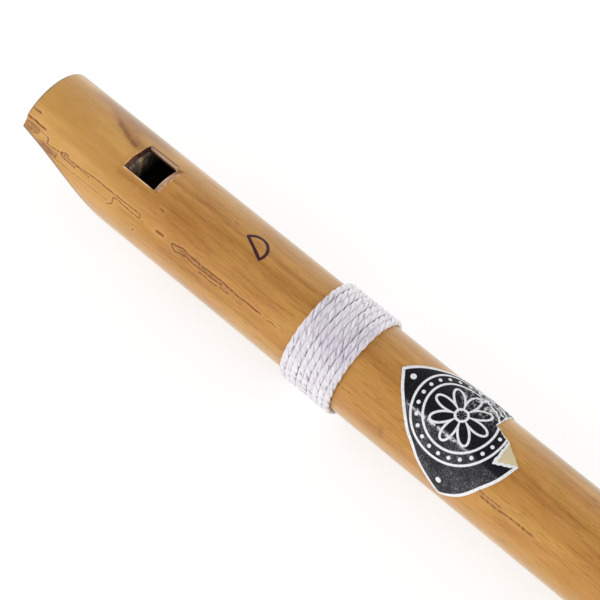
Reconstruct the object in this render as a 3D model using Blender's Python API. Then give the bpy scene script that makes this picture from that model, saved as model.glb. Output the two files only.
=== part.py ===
"""A beaked bamboo flute (bansuri), lying window up on its cord bindings.

The flute's own frame has X along the bore from the mouth end and Z up through the window. The whole flute
hangs on one empty, which puts the origin under its middle, on the surface that the bindings rest on.
All sizes are in metres.
"""

import math

import bmesh
import bpy
from mathutils import Matrix, Vector

# Bamboo tube
TUBE_LENGTH = 0.400
TUBE_DIAMETER = 0.021
WALL = 0.0018
END_CHAMFER = 0.0003
TUBE_SIDES = 72

# Window, cut square through the top wall, with a ramp down to the sounding edge
WINDOW_FROM_MOUTH = 0.0244
WINDOW_LENGTH = 0.0076
WINDOW_WIDTH = 0.0074
RAMP_RUN = 0.0017
SOUNDING_EDGE = 0.0003

# Windway and the block that forms its floor
WINDWAY_HEIGHT = 0.0013
BLOCK_TIP_THICKNESS = 0.0020
BLOCK_EDGE_CHAMFER = 0.0008
BLOCK_HEEL_BELOW_AXIS = 0.0020
BLOCK_COVER = 0.004

# Beak, scooped out of the underside by a drum whose crown lies before the mouth end
BEAK_DRUM_RADIUS = 0.051
BEAK_CROWN_BEFORE_MOUTH = 0.0065
DRUM_SIDES = 160

# Finger holes from the mouth side: share of the sounding length, and diameter
FINGER_HOLES = (
    (0.468, 0.0080),
    (0.539, 0.0085),
    (0.615, 0.0080),
    (0.693, 0.0075),
    (0.764, 0.0095),
    (0.853, 0.0090),
)
HOLE_SIDES = 32

# Cord bindings
CORD_WIDTH = 0.001445
TURN_GAP = 0.00045
BINDING_TURNS = 9
POINTS_PER_TURN = 24
CORD_BEVEL_RESOLUTION = 1
RAMP_TO_HEAD_BINDING = 0.0407
REST_FLAT_SHARE = 0.1

# Paper label, a diamond with slightly bowed sides: at a bow of 1 they are straight, and at 2 it is an oval
BINDING_TO_LABEL = 0.0081
LABEL_LENGTH = 0.0303
LABEL_WIDTH = 0.0340
LABEL_BOW = 1.25
LABEL_TIP_SHIFT = 0.005
LABEL_THICKNESS = 0.00015
LABEL_RINGS = 5
LABEL_SEGMENTS = 60

# Corners of the line along which the label's back corner is torn off, counted from its centre along the tube
# and round it
LABEL_TEAR = (
    (0.0070, 0.0175),
    (0.0062, 0.0034),
    (0.0104, 0.0019),
    (0.0155, -0.0014),
)

# Room left between neighbours, and how far a cutter runs past what it cuts
CLEARANCE = 0.0003
OVERRUN = 0.002

# Worked out from the sizes above
TUBE_RADIUS = TUBE_DIAMETER / 2
BORE_RADIUS = TUBE_RADIUS - WALL
BLOCK_RADIUS = BORE_RADIUS - CLEARANCE
SOUNDING_EDGE_X = WINDOW_FROM_MOUTH + WINDOW_LENGTH
RAMP_END_X = SOUNDING_EDGE_X + RAMP_RUN
SOUNDING_LENGTH = TUBE_LENGTH - SOUNDING_EDGE_X
WINDWAY_FLOOR = BORE_RADIUS - WINDWAY_HEIGHT
BEAK_TIP_HEIGHT = WINDWAY_FLOOR - BLOCK_TIP_THICKNESS

CORD_DIAMETER = CORD_WIDTH - TURN_GAP
CORD_SIDES = 4 + 2 * CORD_BEVEL_RESOLUTION
CORD_FLAT_REACH = CORD_DIAMETER / 2 * math.cos(math.pi / CORD_SIDES)
CORD_PATH_RADIUS = (TUBE_RADIUS + CLEARANCE + CORD_DIAMETER / 2) / math.cos(math.pi / POINTS_PER_TURN)
CORD_LOW_POINT = CORD_PATH_RADIUS * math.cos(math.pi / POINTS_PER_TURN) + CORD_FLAT_REACH
BINDING_LENGTH = BINDING_TURNS * CORD_WIDTH
HEAD_BINDING_X = RAMP_END_X + RAMP_TO_HEAD_BINDING
LABEL_CENTRE_X = HEAD_BINDING_X + BINDING_LENGTH + BINDING_TO_LABEL + LABEL_LENGTH / 2
AXIS_HEIGHT = CORD_LOW_POINT - REST_FLAT_SHARE * CORD_DIAMETER

# Piece colours as (red, green, blue) and roughness
BAMBOO_FINISH = ((0.56, 0.31, 0.09), 0.45)
BLOCK_FINISH = ((0.33, 0.20, 0.09), 0.70)
CORD_FINISH = ((0.80, 0.79, 0.84), 0.75)
PAPER_FINISH = ((0.03, 0.03, 0.035), 0.60)


def clear_scene():
    for obj in list(bpy.data.objects):
        bpy.data.objects.remove(obj, do_unlink=True)


def make_material(name, finish):
    color, roughness = finish
    material = bpy.data.materials.new(name)
    material.use_nodes = True
    shader = material.node_tree.nodes["Principled BSDF"]
    shader.inputs["Base Color"].default_value = (*color, 1.0)
    shader.inputs["Roughness"].default_value = roughness
    shader.inputs["Metallic"].default_value = 0.0
    return material


def add_object(name, data, parent, material=None):
    obj = bpy.data.objects.new(name, data)
    bpy.context.scene.collection.objects.link(obj)
    obj.parent = parent
    if material:
        data.materials.append(material)
    return obj


def mesh_from(bm, name, smooth_angle=math.radians(35)):
    """Turns a bmesh into a mesh with its faces pointing out and its round parts shaded smooth."""
    bmesh.ops.recalc_face_normals(bm, faces=bm.faces)
    mesh = bpy.data.meshes.new(name)
    bm.to_mesh(mesh)
    bm.free()
    mesh.shade_smooth()
    mesh.set_sharp_from_angle(angle=smooth_angle)
    return mesh


def turned(name, profile, sides):
    """A body turned about X from a closed profile of (x, radius) points that stays clear of the axis."""
    bm = bmesh.new()
    ring = [bm.verts.new((x, 0.0, radius)) for x, radius in profile]
    edges = [bm.edges.new((ring[i - 1], ring[i])) for i in range(len(ring))]
    bmesh.ops.spin(bm, geom=ring + edges, cent=(0, 0, 0), axis=(1, 0, 0), angle=math.tau, steps=sides,
                   use_merge=True)
    return mesh_from(bm, name)


def round_bar(name, radius, length, sides, turn):
    """A solid cylinder along Z, moved and turned by the matrix that is given."""
    bm = bmesh.new()
    bmesh.ops.create_cone(bm, cap_ends=True, segments=sides, radius1=radius, radius2=radius, depth=length,
                          matrix=turn)
    return mesh_from(bm, name)


def side_prism(name, outline, width):
    """A prism whose (x, z) outline is seen from the side, extruded by its width across the tube."""
    bm = bmesh.new()
    face = bm.faces.new([bm.verts.new((x, -width / 2, z)) for x, z in outline])
    moved = bmesh.ops.extrude_face_region(bm, geom=[face])["geom"]
    bmesh.ops.translate(bm, vec=(0, width, 0), verts=[v for v in moved if isinstance(v, bmesh.types.BMVert)])
    return mesh_from(bm, name)


def add_cutter(name, mesh, parent):
    cutter = add_object(name, mesh, parent)
    cutter.hide_render = True
    cutter.display_type = "WIRE"
    return cutter


def cut(obj, cutter, operation="DIFFERENCE"):
    modifier = obj.modifiers.new(cutter.name, "BOOLEAN")
    modifier.operation = operation
    modifier.object = cutter
    modifier.solver = "EXACT"


def hole_x(index):
    return SOUNDING_EDGE_X + FINGER_HOLES[index][0] * SOUNDING_LENGTH


def drum_centre_z():
    """Height of the drum's axis, which puts its rim at the beak's tip height at the mouth end."""
    return BEAK_TIP_HEIGHT - math.sqrt(BEAK_DRUM_RADIUS**2 - BEAK_CROWN_BEFORE_MOUTH**2)


def beak_x_at(z):
    """How far from the mouth end the scoop reaches at a height."""
    return -BEAK_CROWN_BEFORE_MOUTH + math.sqrt(BEAK_DRUM_RADIUS**2 - (z - drum_centre_z()) ** 2)


def add_beak_drum(parent):
    place = Matrix.Translation((-BEAK_CROWN_BEFORE_MOUTH, 0, drum_centre_z()))
    turn = place @ Matrix.Rotation(math.pi / 2, 4, "X")
    drum = round_bar("beak_drum", BEAK_DRUM_RADIUS, TUBE_DIAMETER + 2 * OVERRUN, DRUM_SIDES, turn)
    return add_cutter("beak_drum", drum, parent)


def window_outline():
    """Side view of the window: two square walls, and the ramp that rises from the sounding edge."""
    floor = BORE_RADIUS / 2
    top = TUBE_RADIUS + OVERRUN
    edge_z = BORE_RADIUS + SOUNDING_EDGE
    ramp_slope = RAMP_RUN / (TUBE_RADIUS - edge_z)
    return (
        (WINDOW_FROM_MOUTH, floor),
        (WINDOW_FROM_MOUTH, top),
        (SOUNDING_EDGE_X + (top - edge_z) * ramp_slope, top),
        (SOUNDING_EDGE_X, edge_z),
        (SOUNDING_EDGE_X, floor),
    )


def add_bamboo_tube(parent, drum, material):
    profile = (
        (0.0, BORE_RADIUS),
        (0.0, TUBE_RADIUS - END_CHAMFER),
        (END_CHAMFER, TUBE_RADIUS),
        (TUBE_LENGTH - END_CHAMFER, TUBE_RADIUS),
        (TUBE_LENGTH, TUBE_RADIUS - END_CHAMFER),
        (TUBE_LENGTH, BORE_RADIUS),
    )
    tube = add_object("bamboo_tube", turned("bamboo_tube", profile, TUBE_SIDES), parent, material)
    cut(tube, drum)
    window = side_prism("window_cutter", window_outline(), WINDOW_WIDTH)
    cut(tube, add_cutter("window_cutter", window, parent))
    for index, (_, diameter) in enumerate(FINGER_HOLES):
        name = f"finger_hole_{index + 1}_cutter"
        turn = Matrix.Translation((hole_x(index), 0, TUBE_RADIUS))
        bar = round_bar(name, diameter / 2, TUBE_DIAMETER, HOLE_SIDES, turn)
        cut(tube, add_cutter(name, bar, parent))
    return tube


def block_reach():
    """How far the block runs along the bottom of the bore, past the place where the scoop opens it."""
    return beak_x_at(-BORE_RADIUS) + BLOCK_COVER


def block_outline():
    """Side view of the block: the windway floor, a straight end, and a heel that leans away to close the beak."""
    low = -BLOCK_RADIUS - OVERRUN
    lean = (block_reach() - WINDOW_FROM_MOUTH) / (BLOCK_RADIUS - BLOCK_HEEL_BELOW_AXIS)
    return (
        (0.0, low),
        (0.0, WINDWAY_FLOOR),
        (WINDOW_FROM_MOUTH - BLOCK_EDGE_CHAMFER, WINDWAY_FLOOR),
        (WINDOW_FROM_MOUTH, WINDWAY_FLOOR - BLOCK_EDGE_CHAMFER),
        (WINDOW_FROM_MOUTH, -BLOCK_HEEL_BELOW_AXIS),
        (block_reach() + lean * OVERRUN, low),
    )


def add_fipple_block(parent, drum, material):
    turn = Matrix.Rotation(math.pi / 2, 4, "Y")
    plug = round_bar("fipple_block", BLOCK_RADIUS, 2 * (block_reach() + OVERRUN), TUBE_SIDES, turn)
    block = add_object("fipple_block", plug, parent, material)
    side = side_prism("block_side", block_outline(), TUBE_DIAMETER)
    cut(block, add_cutter("block_side", side, parent), "INTERSECT")
    cut(block, drum)
    return block


def binding_route(start_x):
    """The cord's centre line: a right-hand helix from the underside, with a straight run at each end."""
    steps = BINDING_TURNS * POINTS_PER_TURN
    start_angle = -math.pi / 2 + math.pi / POINTS_PER_TURN
    route = []
    for step in range(steps + 1):
        angle = start_angle + math.tau * step / POINTS_PER_TURN
        x = start_x + CORD_WIDTH * step / POINTS_PER_TURN
        route.append(Vector((x, CORD_PATH_RADIUS * math.cos(angle), CORD_PATH_RADIUS * math.sin(angle))))
    first_run = (route[0] - route[1]).normalized() * CORD_DIAMETER
    last_run = (route[-1] - route[-2]).normalized() * CORD_DIAMETER
    return [route[0] + first_run] + route + [route[-1] + last_run]


def least_gap(route):
    """The smallest room between one turn and another, measured between the points of the centre line."""
    apart = POINTS_PER_TURN // 2
    pairs = ((a, b) for a in range(len(route)) for b in range(a + apart, len(route)))
    return min((route[a] - route[b]).length for a, b in pairs) - CORD_DIAMETER


def cord_mesh(name, route):
    """The cord as one tube with closed ends, turned so that each turn shows a flat side outwards."""
    curve = bpy.data.curves.new(name, "CURVE")
    curve.dimensions = "3D"
    curve.bevel_depth = CORD_DIAMETER / 2
    curve.bevel_resolution = CORD_BEVEL_RESOLUTION
    curve.use_fill_caps = True
    spline = curve.splines.new("POLY")
    spline.points.add(len(route) - 1)
    climb = math.atan2(CORD_WIDTH, math.tau * CORD_PATH_RADIUS)
    roll_per_step = math.tau / POINTS_PER_TURN * math.sin(climb)
    for step, (point, place) in enumerate(zip(spline.points, route)):
        point.co = (*place, 1.0)
        point.tilt = roll_per_step * step
    helper = bpy.data.objects.new(name, curve)
    mesh = bpy.data.meshes.new_from_object(helper)
    bpy.data.objects.remove(helper)
    return mesh


def add_binding(name, start_x, parent, rest_cutter, material):
    route = binding_route(start_x)
    print(f"{name}: least gap between turns {1000 * least_gap(route):.3f} mm")
    binding = add_object(name, cord_mesh(name, route), parent, material)
    cut(binding, rest_cutter)
    return binding


def add_rest_cutter(parent):
    """A block under the whole flute, whose top cuts a small flat on the lowest side of every turn."""
    outline = (
        (-OVERRUN, -2 * AXIS_HEIGHT),
        (TUBE_LENGTH + OVERRUN, -2 * AXIS_HEIGHT),
        (TUBE_LENGTH + OVERRUN, -AXIS_HEIGHT),
        (-OVERRUN, -AXIS_HEIGHT),
    )
    return add_cutter("rest_cutter", side_prism("rest_cutter", outline, 2 * TUBE_DIAMETER), parent)


def share_before_tear(along, around):
    """The share of the way from the label's centre to a point of its edge that the tear leaves."""
    share = 1.0
    for (along_a, around_a), (along_b, around_b) in zip(LABEL_TEAR, LABEL_TEAR[1:]):
        run, rise = along_b - along_a, around_b - around_a
        facing = along * rise - around * run
        on_segment = (along_a * around - around_a * along) / facing
        if 0 <= on_segment <= 1:
            reach = (along_a * rise - around_a * run) / facing
            if reach > 0:
                share = min(share, reach)
    return share


def label_edge(segment):
    """How far the label's edge lies from its centre at one segment: along the tube, and round it."""

    def bowed(share):
        return math.copysign(abs(share) ** (2 / LABEL_BOW), share)

    turn = math.tau * segment / LABEL_SEGMENTS
    side = bowed(math.sin(turn))
    along = LABEL_LENGTH / 2 * bowed(math.cos(turn)) + LABEL_TIP_SHIFT * abs(side)
    around = LABEL_WIDTH / 2 * side
    left = share_before_tear(along, around)
    return along * left, around * left


def add_paper_label(parent, material):
    """A diamond-shaped sheet wrapped round the top of the tube, with its back corner torn off."""
    radius = TUBE_RADIUS + CLEARANCE
    bm = bmesh.new()

    def label_point(ring, segment):
        along, around = label_edge(segment)
        share = ring / LABEL_RINGS
        angle = around * share / radius
        return LABEL_CENTRE_X + along * share, radius * math.sin(angle), radius * math.cos(angle)

    centre = bm.verts.new(label_point(0, 0))
    rings = [[bm.verts.new(label_point(ring, segment)) for segment in range(LABEL_SEGMENTS)]
             for ring in range(1, LABEL_RINGS + 1)]
    for segment in range(LABEL_SEGMENTS):
        following = (segment + 1) % LABEL_SEGMENTS
        bm.faces.new((centre, rings[0][segment], rings[0][following]))
        for inner, outer in zip(rings, rings[1:]):
            bm.faces.new((inner[segment], outer[segment], outer[following], inner[following]))
    label = add_object("paper_label", mesh_from(bm, "paper_label"), parent, material)
    thicken = label.modifiers.new("paper_thickness", "SOLIDIFY")
    thicken.thickness = LABEL_THICKNESS
    thicken.offset = 1.0
    return label


def main():
    clear_scene()
    flute = bpy.data.objects.new("flute_axis", None)
    bpy.context.scene.collection.objects.link(flute)
    flute.location = (-TUBE_LENGTH / 2, 0, AXIS_HEIGHT)

    bamboo = make_material("bamboo", BAMBOO_FINISH)
    block_wood = make_material("block_wood", BLOCK_FINISH)
    white_cord = make_material("white_cord", CORD_FINISH)
    black_paper = make_material("black_paper", PAPER_FINISH)

    drum = add_beak_drum(flute)
    add_bamboo_tube(flute, drum, bamboo)
    add_fipple_block(flute, drum, block_wood)

    # The middle binding parts the row of holes, and the foot binding lies between the last hole and the foot
    after = len(FINGER_HOLES) // 2
    last = len(FINGER_HOLES) - 1
    middle_x = (hole_x(after - 1) + hole_x(after) - BINDING_LENGTH) / 2
    foot_x = (hole_x(last) + TUBE_LENGTH - BINDING_LENGTH) / 2
    rest_cutter = add_rest_cutter(flute)
    add_binding("head_binding", HEAD_BINDING_X, flute, rest_cutter, white_cord)
    add_binding("middle_binding", middle_x, flute, rest_cutter, white_cord)
    add_binding("foot_binding", foot_x, flute, rest_cutter, white_cord)
    add_paper_label(flute, black_paper)


main()
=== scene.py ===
"""The looks of a beaked bamboo flute (bansuri), lying window up on its three cord bindings.

Lengths are in metres unless a name or a comment says millimetres. Places on the flute are given as two
distances: along, from the mouth end, and round, over the skin from the line that the window and the finger
holes are cut on, counted towards the front (-Y).
"""

import math

import bmesh
import bpy
import numpy as np
from mathutils import Matrix, Vector


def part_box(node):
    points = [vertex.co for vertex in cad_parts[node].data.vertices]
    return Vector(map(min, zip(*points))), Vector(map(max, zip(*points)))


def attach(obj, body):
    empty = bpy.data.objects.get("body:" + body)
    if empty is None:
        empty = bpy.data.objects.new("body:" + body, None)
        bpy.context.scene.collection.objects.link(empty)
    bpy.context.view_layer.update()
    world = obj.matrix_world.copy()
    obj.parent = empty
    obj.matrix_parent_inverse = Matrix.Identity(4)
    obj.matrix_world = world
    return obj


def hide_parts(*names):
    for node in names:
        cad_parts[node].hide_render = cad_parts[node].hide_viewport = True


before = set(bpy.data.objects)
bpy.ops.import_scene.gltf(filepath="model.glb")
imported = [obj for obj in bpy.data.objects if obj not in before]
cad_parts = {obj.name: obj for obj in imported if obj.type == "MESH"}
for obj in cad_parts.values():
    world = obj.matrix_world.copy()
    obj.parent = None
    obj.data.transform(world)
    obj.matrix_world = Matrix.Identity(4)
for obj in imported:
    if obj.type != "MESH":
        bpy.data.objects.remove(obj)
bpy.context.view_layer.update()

MM = 0.001

# The tube, as the frame gives it
TUBE_LOW, TUBE_HIGH = (Vector(corner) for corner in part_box("bamboo_tube"))
MOUTH_X = TUBE_LOW.x
TUBE_LENGTH = TUBE_HIGH.x - TUBE_LOW.x
TUBE_RADIUS = (TUBE_HIGH.y - TUBE_LOW.y) / 2
AXIS_Z = (TUBE_LOW.z + TUBE_HIGH.z) / 2
WALL = 0.0018
BORE_RADIUS = TUBE_RADIUS - WALL
END_ROUNDING = 0.0004
ROUND_THE_TUBE = math.tau * TUBE_RADIUS

# Window, ramp, windway and beak
WINDOW_FROM_MOUTH = 0.0244
WINDOW_LENGTH = 0.0076
WINDOW_WIDTH = 0.0074
WINDOW_SLANT = 0.0006
WINDOW_SLICES = 25
KNIFE_SLIP = 0.00004
EDGE_CHATTER = 0.0002
RAMP_RUN = 0.00185
RAMP_SLANT = 0.0003
SOUNDING_EDGE = 0.0003
WINDWAY_HEIGHT = 0.0013
BLOCK_TIP_THICKNESS = 0.0020
BLOCK_EDGE_CHAMFER = 0.0008
BLOCK_HEEL_BELOW_AXIS = 0.0020
# Heights between which painted shade darkens the block's end towards near black
BLOCK_END_SHADE_FROM = 0.0062
BLOCK_END_SHADE_TO = -0.0005
BLOCK_STROKE_LEAN = 0.16
BLOCK_STROKE_AT = 0.0002
BLOCK_STROKE_TOP = 0.0068
BLOCK_COVER = 0.004
BLOCK_ROOM = 0.00005
BLOCK_SIDES = 144
BEAK_DRUM_RADIUS = 0.051
BEAK_CROWN_BEFORE_MOUTH = 0.0065
BEAK_DRUM_SIDES = 480
SOUNDING_EDGE_AT = WINDOW_FROM_MOUTH + WINDOW_LENGTH
WINDWAY_FLOOR = BORE_RADIUS - WINDWAY_HEIGHT
OVERRUN = 0.002

# Finger holes: share of the sounding length, and diameter
FINGER_HOLES = (
    (0.468, 0.0080),
    (0.539, 0.0085),
    (0.615, 0.0080),
    (0.693, 0.0075),
    (0.764, 0.0095),
    (0.853, 0.0090),
)
HOLE_RIM_ROUNDING = 0.0005
HOLE_SIDES = 96
RIM_BEND = math.radians(75)
RIM_RINGS = 6

# The tube's mesh: spans with the step between their rows, and how close to a drawn line each split is made
ROW_SPANS = ((0.0, 0.135, 0.0006), (0.135, TUBE_LENGTH, 0.0024))
COLUMN_STEP = 0.00055
BORE_ROWS = 41
SPLIT_WITHIN_MM = (0.9, 0.5, 0.28)

# Cord
CORD_WIDTH = 0.001445
BINDING_TURNS = 9
PLIES = 3
CORD_FLATNESS = 0.85
CORD_SPREAD = 1.06
PLY_OFFSET = 0.00026
PLY_RADIUS = 0.00047
CORE_RADIUS = 0.00057
PLY_LAY = 0.0063
PLY_SIDES = 12
PLY_SHADE_REACH = 0.5
CORD_STEP = 0.00045
CORD_END_TAPER = 0.0012
PITCH_UNEVENNESS = 0.8
PITCH_PHASE = -0.327
TURN_SLIP = 0.00007
# How far the painted shade on the cord's top leans towards the front
CORD_SHADE_LEAN = 0.48

# Label: a diamond with slightly bowed sides, as the part's source has it. The tear's corners are counted in
# millimetres from the label's centre, along and round the tube.
LABEL_BOW = 1.25
LABEL_HALF_WIDTH = 0.0170
LABEL_TIP_SHIFT = 0.005
LABEL_TEAR_MM = ((7.0, -17.5), (6.2, -3.4), (10.4, -1.9), (15.5, 1.4))
LABEL_LIFT = 0.00008
LABEL_THICKNESS = 0.00010
LABEL_RINGS = 76
LABEL_SEGMENTS = 280

# Camera, seen against the flute's own frame
CAMERA_PLACE = (-0.00265, -0.19019, 0.39815)
CAMERA_FORWARD = (-0.28773, 0.42763, -0.85694)
CAMERA_UP = (-0.60293, 0.61432, 0.50900)
CAMERA_LENS = 133.73

# The light tent round the object: white walls, dimmer overhead
HORIZON_LIGHT = 1.50
OVERHEAD_LIGHT = 0.42

# Materials of the tube and of the block, in the order of their slots
SKIN, BORE, END_GRAIN, WINDOW_WALL, WINDOW_END_WALL, HOLE_WALL, BEAK_FACE = range(7)
BLOCK_WOOD, BLOCK_BEAK, BLOCK_END, BLOCK_HEEL = range(4)


# Marks on the skin. Each drawn line has its points in millimetres along and round, then its half width, its
# depth in millimetres and its darkness.

LOOP_UPPER = ((11.3, 10.15), (12.4, 10.1), (14.5, 10.1), (17, 9.95), (20, 9.7), (25, 9.65), (30, 9.6),
              (32.8, 9.5), (33.4, 9.75), (33.5, 10.1), (33.0, 10.4), (30.5, 10.4), (27, 10.2), (26.1, 10.5),
              (26.3, 11.3), (26.4, 11.7), (26.0, 12.2), (25.3, 12.5))
LOOP_LOWER = ((12.9, 9.55), (11.8, 9.55), (11.2, 9.85), (11.1, 10.15), (11.6, 10.55), (13.0, 10.7), (15.5, 10.7))
LOOP_BOTTOM = ((8.8, 12.5), (12, 12.1), (17, 12.1), (20, 12.0), (23, 11.95), (25, 12.0))
SECOND_UPPER = ((42.3, 10.15), (43.4, 9.7), (45, 9.45), (48, 9.65), (51, 9.7), (54, 9.55), (57, 9.65), (60, 9.9),
                (62, 9.7), (66.2, 9.75))
SECOND_LOWER = ((42.5, 10.5), (43.6, 11.0), (45.2, 10.7), (47, 10.5), (50, 10.6), (53, 10.5), (56, 10.2))
SCARS = (
    (LOOP_UPPER, 0.18, 0.05, 0.80),
    (((11.25, 9.85), (11.2, 10.2)), 0.26, 0.05, 0.95),
    (LOOP_LOWER, 0.19, 0.05, 0.90),
    (LOOP_BOTTOM, 0.16, 0.04, 0.62),
    (((12, 9.9), (14, 10.1), (17.2, 10.35), (19.2, 10.4)), 0.16, 0.04, 0.70),
    (((0.2, 6.0), (1.5, 6.08), (2.7, 6.0)), 0.21, 0.08, 0.85),
    (((0.1, 8.12), (2.5, 8.08), (5.5, 8.2)), 0.24, 0.10, 1.00),
    (((4.6, 9.02), (5.6, 9.1), (6.6, 9.25)), 0.17, 0.03, 0.50),
    (((6.6, 9.25), (7.1, 9.45), (7.25, 9.8), (7.1, 10.15)), 0.20, 0.05, 0.90),
    (((6.0, 10.1), (7.0, 10.12)), 0.16, 0.03, 0.45),
    (((7.2, 10.45), (9.0, 10.3), (11, 10.15)), 0.18, 0.04, 0.75),
    (((0.9, 9.0), (4.1, 8.98)), 0.13, 0.03, 1.00),
    (((0.5, 9.38), (4.2, 9.35)), 0.11, 0.02, 0.85),
    (((0.4, 9.74), (3.9, 9.74)), 0.11, 0.02, 0.80),
    (((0.4, 10.10), (3.9, 10.12)), 0.12, 0.03, 0.90),
    (((0.4, 10.47), (3.5, 10.50), (4.1, 10.1), (4.45, 9.7), (4.4, 9.1)), 0.13, 0.03, 0.85),
    (((10.15, 10.95), (10.3, 11.4), (10.15, 11.85)), 0.22, 0.05, 0.90),
    (((8.4, 11.9), (10.0, 11.88)), 0.14, 0.03, 0.60),
    (((6.2, 11.2), (9.8, 11.35)), 0.14, 0.02, 0.45),
    (((33.1, 13.55), (32.8, 14.1)), 0.25, 0.05, 0.75),
    (((38.1, 10.02), (39.7, 10.05)), 0.34, 0.08, 1.00),
    (((39.9, 10.35), (40.9, 10.4)), 0.16, 0.03, 0.45),
    (SECOND_UPPER, 0.21, 0.06, 0.95),
    (SECOND_LOWER, 0.21, 0.06, 0.90),
    (((44.2, 10.15), (45.5, 9.95), (46.6, 10.2), (45.4, 10.4), (44.4, 10.2)), 0.16, 0.04, 0.80),
    (((49.5, 10.1), (51.5, 10.3), (53.6, 10.1)), 0.16, 0.04, 0.75),
    (((43.6, 11.2), (47.6, 11.15)), 0.15, 0.03, 0.55),
    (((50.3, 11.2), (53, 11.25), (55.2, 11.15)), 0.19, 0.04, 0.90),
    (((55.8, 10.85), (57.2, 11.0), (58.4, 10.75)), 0.18, 0.04, 0.80),
    (((60.4, 11.1), (61.9, 11.0)), 0.16, 0.03, 0.55),
    (((60.6, 10.3), (61.9, 10.3)), 0.16, 0.03, 0.50),
    (((68.2, 9.95), (69.0, 9.75), (70.3, 9.85)), 0.19, 0.04, 0.75),
    (((36.3, 5.9), (37.1, 5.92)), 0.24, 0.04, 0.65),
    (((57.8, 6.7), (58.9, 6.3), (59.1, 5.4)), 0.22, 0.02, 0.30),
    (((87.3, 10.85), (91.2, 10.8)), 0.18, 0.03, 0.55),
    (((89.0, 5.3), (93.5, 5.2)), 0.16, 0.03, 0.35),
    (((105.0, 13.9), (106.2, 13.8)), 0.22, 0.03, 0.40),
    (((120.5, 9.1), (124, 9.3), (128, 9.2)), 0.21, 0.04, 0.65),
    (((123.2, 10.0), (125.2, 10.1), (131, 9.7), (136, 9.6)), 0.24, 0.05, 0.80),
    (((127.5, 11.6), (129.2, 11.5)), 0.19, 0.03, 0.40),
    (((21.0, -3.2), (21.8, -3.2)), 0.22, 0.03, 0.45),
    (((8.6, -3.2), (9.3, -3.15)), 0.25, 0.03, 0.40),
    (((27.8, 5.85), (29.2, 5.9)), 0.19, 0.03, 0.40),
    (((66.5, 6.9), (73.6, 7.0)), 0.16, 0.03, 0.35),
    (((63.0, 6.8), (65.2, 6.7)), 0.16, 0.03, 0.30),
)

# How much paler the raised lip of a scar is
SCAR_LIP = 0.15

# The chip at the corner of the beak: where it starts and ends round the tube, its depth, and how far it shows
LIP_CHIP_MM = (8.5, 13.0, 0.30, 2.5)

# Soft stains: points, half width and strength
STAINS = (
    (((16.6, -3.2), (17.6, -2.8), (18.6, -2.5), (19.6, -2.2), (20.6, -1.8), (21.6, -1.5), (22.9, -1.3)), 0.52, 1.30),
    (((13.2, -5.7), (15.2, -4.6), (16.8, -3.7), (18.4, -3.1), (20.2, -2.6), (24.2, -1.8)), 1.15, 0.72),
    (((12.9, -8.4), (15, -7.2), (17.5, -6.0), (20, -5.2)), 2.5, 0.60),
    (((33.6, -3.5), (34.4, -3.9)), 0.40, 0.45),
    (((34, -0.75), (44, -0.9), (53, -0.6)), 0.42, 0.50),
    (((53, -0.6), (72, -0.9)), 0.40, 0.28),
    (((37, 1.7), (44, 2.1), (52, 1.9)), 0.60, 0.38),
    (((62, 3.4), (70, 3.2), (74, 3.7)), 0.40, 0.40),
    (((38.5, 5.0), (44, 5.2), (50, 6.2)), 0.90, 0.34),
    (((40, 13.0), (50, 12.9), (62, 13.2), (74, 12.9)), 0.40, 0.40),
    (((24.3, 5.1), (30, 5.2), (34, 5.4), (38, 6.2), (43, 7.2)), 0.55, 0.32),
    (((23.9, -3.0), (23.6, 1.0), (23.8, 4.0)), 0.35, 0.22),
    (((99.4, 12.6), (99.8, 14.4)), 0.70, 0.42),
    (((88, -0.5), (97, -0.3)), 0.45, 0.30),
    (((88, 2.4), (96, 2.5)), 0.40, 0.25),
    (((96, 13.9), (99, 13.7)), 0.35, 0.28),
    (((124, -4.8), (140, -4.5)), 0.40, 0.36),
    (((125.5, 1.2), (132, 1.6), (142, 2.1)), 0.45, 0.40),
    (((126, 3.2), (140, 3.3)), 0.40, 0.32),
    (((120, 9.6), (129, 9.8)), 0.60, 0.30),
    (((143, 4.2), (152, 4.4)), 0.50, 0.35),
)

# Wide fields of a darker tone, those round -8 to -12 mm painted shade along the back (upper) side: middle and half
# size along, middle and half size round, and strength
TONE_AND_SHADE_FIELDS = ((52, 21, 4.6, 3.4, 0.18), (132, 14, 3.4, 3.0, 0.07), (17, 11, -8.4, 3.0, 0.75),
               (5, 8, -11.5, 2.6, 0.70), (133, 12, -9.3, 2.8, 0.50))
DULL_FIELDS = ((2.3, 2.2, 9.65, 1.0, 0.55), (7.8, 2.8, 11.45, 0.75, 1.00), (50, 8, 10.1, 0.60, 0.50))
TONE_CHANGE_MM = (16, 42)

# The inked pitch letter, a plain one: a straight stem with a half oval on it
LETTER_STEM = ((53.8, -1.3), (59.0, 1.2))
LETTER_BOWL_REACH_MM = 2.9
LETTER_HALF_WIDTH_MM = 0.35


# Geometry

def on_skin(along, around, lift=0.0):
    """World points on the skin, or lifted off it, from arrays of distances along and round the tube."""
    angle = np.asarray(around) / TUBE_RADIUS
    along, angle, radius = np.broadcast_arrays(along, angle, TUBE_RADIUS + np.asarray(lift))
    return np.stack([MOUTH_X + along, -radius * np.sin(angle), AXIS_Z + radius * np.cos(angle)], -1)


def flute_place():
    return Matrix.Translation((MOUTH_X, 0, AXIS_Z))


def uneven(along, around, length_mm, seed, waves=9):
    """A smooth field between about -1 and 1 from crossed waves, for places given in millimetres."""
    random = np.random.default_rng(seed)
    total = np.zeros(np.broadcast(along, around).shape)
    for _ in range(waves):
        rate = math.tau / length_mm * random.uniform(0.5, 1.5)
        heading = random.uniform(0, math.tau)
        phase = random.uniform(0, math.tau)
        total += np.sin(rate * (along * math.cos(heading) + around * math.sin(heading)) + phase)
    return total / math.sqrt(waves)


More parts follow.
